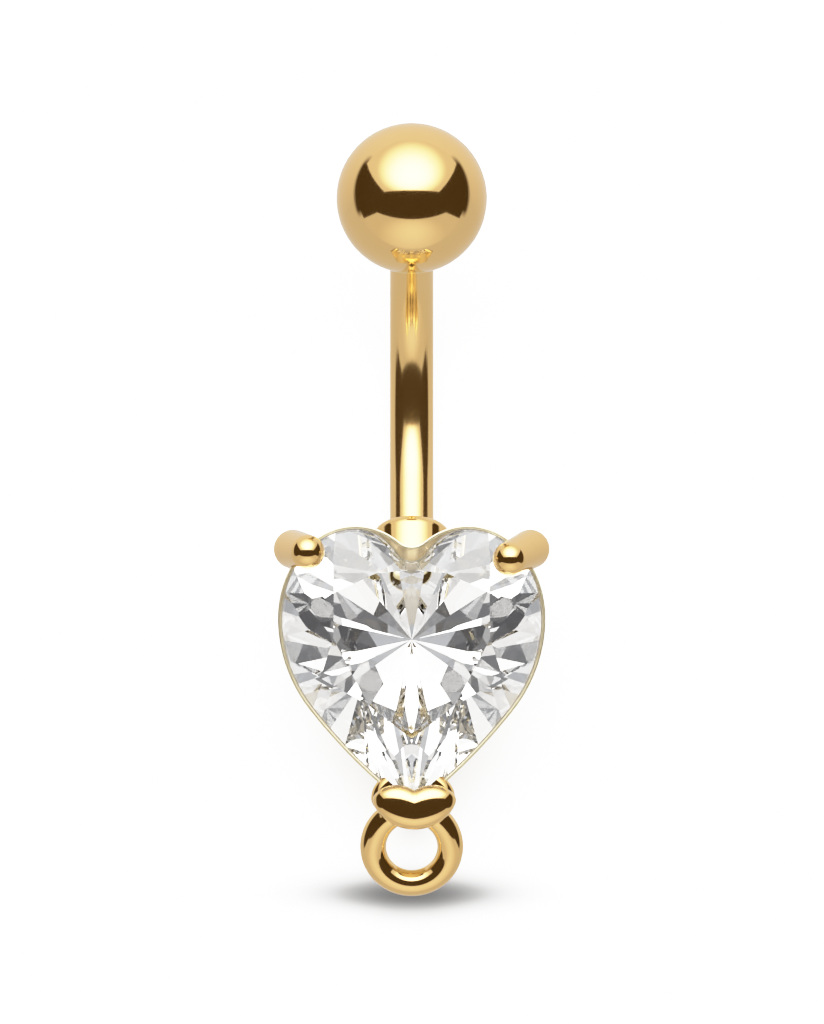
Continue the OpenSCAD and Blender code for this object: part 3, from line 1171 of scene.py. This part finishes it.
class ConvexBlock:
    """A convex solid that is cut by planes, as a cutter grinds facets."""

    on_plane = 1e-7
    on_cut = 1e-5
    same_corner = 1e-4
    weld = 2e-4

    def __init__(self, outline: Array, low: float, high: float) -> None:
        """Starts from an upright block.

        Args:
            outline: Convex outline, anticlockwise or clockwise.
            low: Height of its lower face.
            high: Height of its upper face.
        """
        n = len(outline)
        bottom, top = ([np.append(p, z) for p in outline] for z in (low, high))
        self.faces = [bottom[::-1], top]
        self.faces += [[bottom[i], bottom[(i + 1) % n], top[(i + 1) % n], top[i]]
                       for i in range(n)]

    def cut(self, plane: Plane) -> None:
        """Takes away all that lies beyond a plane.

        Args:
            plane: The cutting plane.
        """
        kept, near = [], self.on_plane
        for face in self.faces:
            depths = [plane.beyond(p) for p in face]
            if max(depths) <= near:
                kept.append(face)
                continue
            part = []
            for i, p in enumerate(face):
                q, d, e = face[(i + 1) % len(face)], depths[i], depths[(i + 1) % len(face)]
                if d <= near:
                    part.append(p)
                if min(abs(d), abs(e)) > near and d * e < 0:
                    part.append(p + (q - p) * d / (d - e))
            if len(part) >= 3:
                kept.append(part)
        if len(kept) < len(self.faces) or any(k is not f for k, f in zip(kept, self.faces)):
            rim = [p for face in kept for p in face if abs(plane.beyond(p)) < self.on_cut]
            cap = self._cap(rim, plane.way)
            kept += [cap] if cap else []
        self.faces = kept

    def _cap(self, rim: list[Array], way: Array) -> list[Array]:
        """New facet through the points left on a cutting plane.

        Args:
            rim: Points on the plane.
            way: The plane's direction.

        Returns:
            The facet's corners in order, or an empty list.
        """
        corners: list[Array] = []
        for p in rim:
            if all(np.linalg.norm(p - q) > self.same_corner for q in corners):
                corners.append(p)
        if len(corners) < 3:
            return []
        mid = sum(corners) / len(corners)
        u = unit(corners[0] - mid)
        v = np.cross(way, u)
        return sorted(corners, key=lambda p: math.atan2(np.dot(p - mid, v), np.dot(p - mid, u)))

    def shape(self) -> Shape:
        """The solid as a surface with shared corners.

        Returns:
            The surface.
        """
        points: list[Array] = []
        faces = []
        for face in self.faces:
            ids: list[int] = []
            for p in face:
                near = (i for i, q in enumerate(points) if np.linalg.norm(p - q) < self.weld)
                known = next(near, len(points))
                if known == len(points):
                    points.append(p)
                if known not in ids:
                    ids.append(known)
            if len(ids) >= 3:
                faces.append(tuple(ids))
        return Shape(np.array(points), faces)


@dataclass
class HeartStone:
    """The heart-cut stone: a table, crown and pavilion facets, and a faceted cleft."""

    crown_h: float = 1.3
    pavilion_h: float = 4.2
    girdle_t: float = 0.16
    star_slope: float = 27.0
    upper_steeper: float = 5.0
    lower_steeper: float = 1.2
    table: tuple[Triple, ...] = (
        (0, 0.61, 121), (0, 0.61, 104), (0.27, 0.585, 77), (0.6, 0.41, 36),
        (0.605, 0.015, -12), (0.335, -0.38, -41), (0, -0.58, -72))
    upper: tuple[float, ...] = (96, 86, 66, 50, 22, 6, -4, -21, -33, -46, -50)
    mains: tuple[float, ...] = (112, 82, 44, 20, -12, -44, -62, -80)
    lower_shares: Pair = (0.3, 0.7)
    notch_flats: int = 8
    notch_over: float = 0.1
    notch_below: float = 0.01
    cutter_low: float = -10.0
    outline: HeartOutline = replace(PLAN.stone, steps=(5, 9, 12, 8, 8))

    def _edge(self) -> Array:
        """Right half of the girdle without its rounded cleft, as one convex outline.

        Returns:
            Rows of x, y.
        """
        o = self.outline
        p, n = o.lobe_points() + o.side_points(), o.lobe(o.blend_angle)[1]
        return np.array([[0, p[0][1] + n[0] / n[1] * p[0][0]], *p, [0, o.tip_y]])

    @staticmethod
    def _reach(points: Array, way: float) -> float:
        """How far points reach in a direction."""
        return float(np.max(points @ turn(way)))

    @staticmethod
    def _plane(way: float, slope: float, distance: float, height: float) -> Plane:
        """A facet's plane.

        Args:
            way: Direction that the facet faces, in plan.
            slope: Its slope, positive in the crown and negative below the girdle.
            distance: Distance of a point of it from the middle, in that direction.
            height: Height of that point.

        Returns:
            The plane.
        """
        s, c = math.sin(math.radians(slope)), math.cos(math.radians(slope))
        flat = turn(way)
        normal = np.array([abs(s) * flat[0], abs(s) * flat[1], c if slope > 0 else -c])
        return Plane(normal, abs(s) * distance + normal[2] * height)

    def _facets(self, edge: Array) -> list[Plane]:
        """All flat facets of the right half.

        Args:
            edge: Right half of the girdle.

        Returns:
            The planes.
        """
        wide = HeartOutline.heart_w / 2 - PLAN.rim_edge - PLAN.stone_gap
        tip = PLAN.rim.tip_y
        corners = np.array([[x * wide, y * (PLAN.lobe_top if y > 0 else -tip)]
                            for x, y, _ in self.table])
        made = []
        for a, b in zip(corners[1:], corners[2:]):
            way = math.degrees(math.atan2(b[0] - a[0], a[1] - b[1]))
            made.append(self._plane(way, self.star_slope, self._reach(a[None], way), self.crown_h))
        crown = [(way, c[None], 0.0) for c, (_, _, way) in zip(corners, self.table)]
        crown += [(way, corners, self.upper_steeper) for way in self.upper]
        for way, inner, steeper in crown:
            far = self._reach(edge, way)
            slope = math.degrees(math.atan2(self.crown_h, far - self._reach(inner, way)))
            made.append(self._plane(way, slope + steeper, far, 0))
        below = [(way, 0.0) for way in self.mains]
        below += [(a + share * (b - a), self.lower_steeper)
                  for a, b in zip(self.mains, self.mains[1:]) for share in self.lower_shares]
        for way, steeper in below:
            far = self._reach(edge, way)
            slope = -math.degrees(math.atan2(self.pavilion_h, far)) - steeper
            made.append(self._plane(way, slope, far, -self.girdle_t))
        return made

    def _halves(self) -> Shape:
        """Both halves joined at the middle line, with a sharp cleft.

        Returns:
            The surface.
        """
        edge = self._edge()
        block = ConvexBlock(edge, -self.pavilion_h - self.girdle_t, self.crown_h)
        for plane in self._facets(edge):
            block.cut(plane)
        right = block.shape()
        right.points[np.abs(right.points[:, 0]) < 1e-4, 0] = 0.0
        right.faces = [f for f in right.faces if np.any(right.points[list(f), 0] > 1e-3)]
        return right.joined(right.mirrored())

    def _notch(self) -> tuple[Shape, Shape]:
        """Two shapes that turn the sharp cleft into a rounded one.

        Returns:
            What fills the cleft, and the cutter of its rounded depth and facets.
        """
        middle, r = self.outline.blend_circle
        top = self.table[0][1] * PLAN.lobe_top
        flare = middle - top - r
        x = self.outline.blend + self.notch_over
        y = self.outline.lobe(self.outline.blend_angle)[0][1]
        plan = np.array([[0, self._edge()[0][1] - self.notch_over], [x, y], [-x, y]])
        step = 180 / self.notch_flats
        rings = []
        for z, radius in ((self.cutter_low, r), (0, r), (3 * self.crown_h, r + 3 * flare)):
            ring = rounded(np.array([0, middle]), radius / turn(step)[0], step, 360 + step,
                           self.notch_flats)
            rings.append(level(ring, z))
        fill = prism(plan, -self.girdle_t, self.crown_h - self.notch_below)
        return fill, loft(rings, caps=True)

    def shape(self) -> Shape:
        """The whole stone as a closed surface."""
        fill, cutter = self._notch()
        return carved(carved(self._halves(), fill, "UNION"), cutter)

    def build(self) -> None:
        """Makes and dresses the stone."""
        obj = self.shape().piece("stone_cut", crease=None)
        dress(obj, "heart_stone", CutStone())


@dataclass
class StoneSeat:
    """Keeps the metal that holds the stone clear of the stone and of the space behind it."""

    stone: HeartStone
    cup: Cup
    spare: float = 0.006

    def clear(self, shape: Shape) -> Shape:
        """Takes the stone's room and the cup's hollow away from a shape.

        Args:
            shape: The shape of a claw or prong.

        Returns:
            The shape without them.
        """
        room = self.stone.shape()
        room.points = room.points * (1 + self.spare)
        return carved(carved(shape, room), self.cup.hollow())


# The studio


@dataclass(frozen=True)
class PaleFloor:
    """Lit white floor with a painted shadow below the charm loop; in the gold it glows as a painted
    reflection.
    """

    name: str = "pale_floor"
    base: float = 0.92
    roughness: float = 0.9
    # Painted reflection: brightness of the floor as it glows in the gold, and the dark colour it
    # turns to far off.
    mirrored: Pair = (0.76, 1.05)
    mirrored_way: Pair = (0.1, -0.9)
    far: Triple = (0.075, 0.05, 0.02)
    low_angle: Pair = (0.10, 0.20)
    sideways: Pair = (0.66, 0.8)
    front_pale: float = 0.8
    # Painted shadow: place, size, edge and depth of the dark patch painted into the floor below the
    # loop.
    shade_at: Pair = (-9.22, -3.5)
    shade_size: Pair = (5.2, 0.87)
    shade_edge: float = 2.6
    shade: float = 0.885

    def material(self) -> bpy.types.Material:
        """Makes the finished material.

        Returns:
            The material.
        """
        material, kit, shader = new_material(self.name)
        kit.put(shader, Base_Color=self._shaded(kit), Roughness=self.roughness,
                Specular_IOR_Level=0.0)
        # Painted reflection: glossy rays see the floor glow by itself, fading to the dark far colour
        # at low angles and to the sides.
        seen = kit.add("ShaderNodeNewGeometry").outputs
        facing = kit.math("ABSOLUTE", kit.measure("DOT_PRODUCT", seen["Incoming"], seen["Normal"]))
        low = kit.spread(facing, *self.low_angle, 1.0, 0.0)
        way = kit.add("ShaderNodeSeparateXYZ", Vector=seen["Incoming"]).outputs
        near = kit.math("MULTIPLY", kit.math("MAXIMUM", way["Y"], 0.0), self.front_pale)
        across = kit.math("SUBTRACT", kit.math("ABSOLUTE", way["X"]), near)
        side = kit.spread(across, *self.sideways, 0.0, 1.0)
        bright = kit.spread(way["Y"], *self.mirrored_way, *self.mirrored)
        colour = kit.blend(kit.math("MULTIPLY", low, side), bright, self.far)
        glow = kit.add("ShaderNodeEmission", Color=colour, Strength=1.0).outputs[0]
        glossy = kit.add("ShaderNodeLightPath").outputs["Is Glossy Ray"]
        kit.put(kit.tree.get_output_node("ALL"),
                Surface=kit.switch(glossy, shader.outputs[0], glow))
        return material

    def _shaded(self, kit: Nodes) -> Socket:
        """Brightness of the base, with a painted soft shadow below the charm loop.

        Args:
            kit: Node helper of the material.

        Returns:
            The brightness as an output.
        """
        spot = PLACE.laid(np.array([0, *self.shade_at]))[0]
        wide, tall = self.shade_size
        place = kit.add("ShaderNodeMapping", vector_type="TEXTURE", Location=(0, spot[1], 0),
                        Scale=(wide * MM, tall * MM, 1),
                        Vector=kit.add("ShaderNodeTexCoord").outputs["Object"]).outputs[0]
        fall = kit.math("POWER", kit.measure("LENGTH", place), self.shade_edge)
        depth = kit.math("EXPONENT", kit.math("MULTIPLY", fall, -1.0))
        return kit.spread(depth, 0.0, 1.0, self.base, self.base * (1 - self.shade))


@dataclass(frozen=True)
class GlowCard:
    """A flat card that only shows in reflections; it glows most at one spot and then fades.

    Its edges and its spot are given by their places along the heart and out of the stone.
    """

    name: str
    colour: Triple
    half_w: float
    edges: tuple[Pair, Pair]
    spot: Pair
    fade: float
    glow: Pair

    def material(self) -> bpy.types.Material:
        """Makes the finished material.

        Returns:
            The material.
        """
        material, kit, shader = new_material(self.name)
        place = kit.add("ShaderNodeTexCoord").outputs["Object"]
        away = kit.measure("DISTANCE", place, PLACE.laid(np.array([0, *self.spot]))[0])
        bright = kit.spread(away, 0.0, self.fade * MM, *self.glow, "SMOOTHSTEP")
        kit.put(shader, Base_Color=(0, 0, 0, 1), Specular_IOR_Level=0.0,
                Emission_Color=(*self.colour, 1), Emission_Strength=bright)
        return material

    def build(self) -> None:
        """Sets up the card."""
        w, (first, second) = self.half_w, self.edges
        corners = np.array([(-w, *first), (w, *first), (w, *second), (-w, *second)])
        card = Shape(corners, [(0, 1, 2, 3)]).piece(self.name)
        card.data.materials.append(self.material())
        card.visible_diffuse = card.visible_shadow = card.visible_camera = False
        card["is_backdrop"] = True


SOFT_BOX = GlowCard("soft_box", (1, 0.985, 0.95), half_w=241.8, spot=(117.0, 156.0), fade=208.0,
                    edges=((67.6, 260.0), (203.58, -30.42)), glow=(5.4, 1.0))
TABLE_CARD = GlowCard("table_card", (1, 0.99, 0.97), half_w=306.9, spot=(-114.0, 100.0),
                      fade=160.0, edges=((-114.0, 200.0), (-114.0, -40.0)), glow=(1.2, 0.8))


@dataclass
class Studio:
    """White floor, overhead soft box, white table card, and a camera far in front of the stone."""

    px_per_mm: float = 27.5
    photo_w: int = 824
    photo_h: int = 1024
    middle_px: Pair = (411.7, 640.0)
    distance_mm: float = 700.0
    sensor_mm: float = 36.0
    clip: Pair = (0.01, 20.0)
    floor_half: float = 3.0
    room: Triple = (0.075, 0.05, 0.02)
    stone_dark: Triple = (0.10, 0.102, 0.11)
    stone_pale: Triple = (0.57, 0.582, 0.602)
    dark_cone: Pair = (18.0, 32.0)
    daylight: float = 1.65
    lamp_w: float = 3.5
    lamp_size: Pair = (0.5, 0.16)
    lamp_at: Triple = (0, 0.12, 0.3)
    bounces: int = 24
    glossy_bounces: int = 16
    white_at: float = 3.0
    shoulder: tuple[Pair, ...] = ((0.3, 0.3), (0.6, 0.6), (0.8, 0.77), (1.0, 0.865),
                                                 (1.5, 0.955), (2.0, 0.985))

    def camera(self) -> None:
        """Makes the camera, which looks straight at the stone's face."""
        data = bpy.data.cameras.new("view")
        data.sensor_width = self.sensor_mm
        seen = self.photo_h / self.px_per_mm
        data.lens = self.sensor_mm * self.distance_mm / seen
        data.clip_start, data.clip_end = self.clip
        cam = in_scene("view", data)
        across = (self.photo_w / 2 - self.middle_px[0]) / self.px_per_mm
        up = (self.middle_px[1] - self.photo_h / 2) / self.px_per_mm
        spot = PLACE.laid(np.array([[across, up, self.distance_mm]]))[0]
        cam.matrix_world = Matrix.Translation(Vector(spot)) @ Matrix.Rotation(
            math.radians(PLACE.tilt), 4, "X")
        bpy.context.scene.camera = cam

    def floor(self) -> None:
        """The pale floor that the ring lies on."""
        half = self.floor_half
        mesh = bpy.data.meshes.new("floor")
        mesh.from_pydata([(-half, -half, 0), (half, -half, 0), (half, half, 0), (-half, half, 0)],
                         [], [(0, 1, 2, 3)])
        mesh.materials.append(PaleFloor().material())
        in_scene("floor", mesh)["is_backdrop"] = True

    def lamp(self) -> None:
        """A wide soft light from above the ball, whose soft shadow falls towards the loop, where the
        floor also carries a painted shadow.
        """
        data = bpy.data.lights.new("floor_light", "AREA")
        data.shape, data.energy = "RECTANGLE", self.lamp_w
        data.size, data.size_y = self.lamp_size
        lamp = in_scene("floor_light", data)
        lamp.location = self.lamp_at
        down = Vector((0, 0, 0)) - lamp.location
        lamp.rotation_euler = down.to_track_quat("-Z", "Y").to_euler()
        lamp.visible_glossy = lamp.visible_transmission = lamp.visible_camera = False

    def world(self) -> None:
        """Daylight for the floor, a dark room mirrored in the gold and a grey one in the stone."""
        world = bpy.data.worlds.new("studio")
        bpy.context.scene.world = world
        world.use_nodes = True
        kit = Nodes(world.node_tree)
        kit.tree.nodes.clear()
        light = kit.add("ShaderNodeLightPath").outputs
        seen = kit.add("ShaderNodeTexCoord").outputs["Generated"]
        near, far = (math.cos(math.radians(a)) for a in self.dark_cone)
        cone = kit.spread(kit.measure("DOT_PRODUCT", seen, PLACE.way((0, 0, 1))), far, near,
                          0.0, 1.0)
        tone = kit.blend(cone, self.stone_pale, self.stone_dark)
        white, dark, grey = (
            kit.add("ShaderNodeBackground", Color=colour, Strength=strength).outputs[0]
            for colour, strength in (((1, 1, 1, 1), self.daylight), ((*self.room, 1), 1.0),
                                     (tone, 1.0)))
        mirrored = kit.switch(light["Is Glossy Ray"], white, dark)
        kit.add("ShaderNodeOutputWorld",
                Surface=kit.switch(light["Is Transmission Ray"], mirrored, grey))

    def film(self) -> None:
        """Plain colours with a soft shoulder, so that highlights on gold turn cream."""
        view = bpy.context.scene.view_settings
        view.view_transform = "Standard"
        view.use_curve_mapping = True
        mapping = view.curve_mapping
        mapping.white_level = (self.white_at,) * 3
        for light, shown in self.shoulder:
            mapping.curves[3].points.new(light / self.white_at, shown)
        mapping.update()

    def build(self) -> None:
        """Sets up light, floor, camera and colour."""
        self.camera()
        self.floor()
        SOFT_BOX.build()
        TABLE_CARD.build()
        self.lamp()
        self.world()
        self.film()
        cycles = bpy.context.scene.cycles
        cycles.max_bounces = cycles.transmission_bounces = self.bounces
        cycles.glossy_bounces = self.glossy_bounces
        cycles.use_denoising = True


def main() -> None:
    """Builds the ring's pieces and the studio, in order."""
    logging.basicConfig(level=logging.INFO, format="%(name)s: %(message)s")
    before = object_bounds()
    before = (before[0].copy(), before[1].copy())
    bar, cup, stone = CurvedBar(), Cup(), HeartStone()
    seat = StoneSeat(stone, cup)
    pieces = [bar, TopBall(bar), Collar(bar, cup), cup, Claw(seat, "claw_left", -1, 0.18, 0.24),
              Claw(seat, "claw_right", 1, 0.51, 0.18), TipProng(seat), CharmLoop(), stone]
    for piece in pieces:
        piece.build()
    Studio().build()


if __name__ == "__main__":
    main()
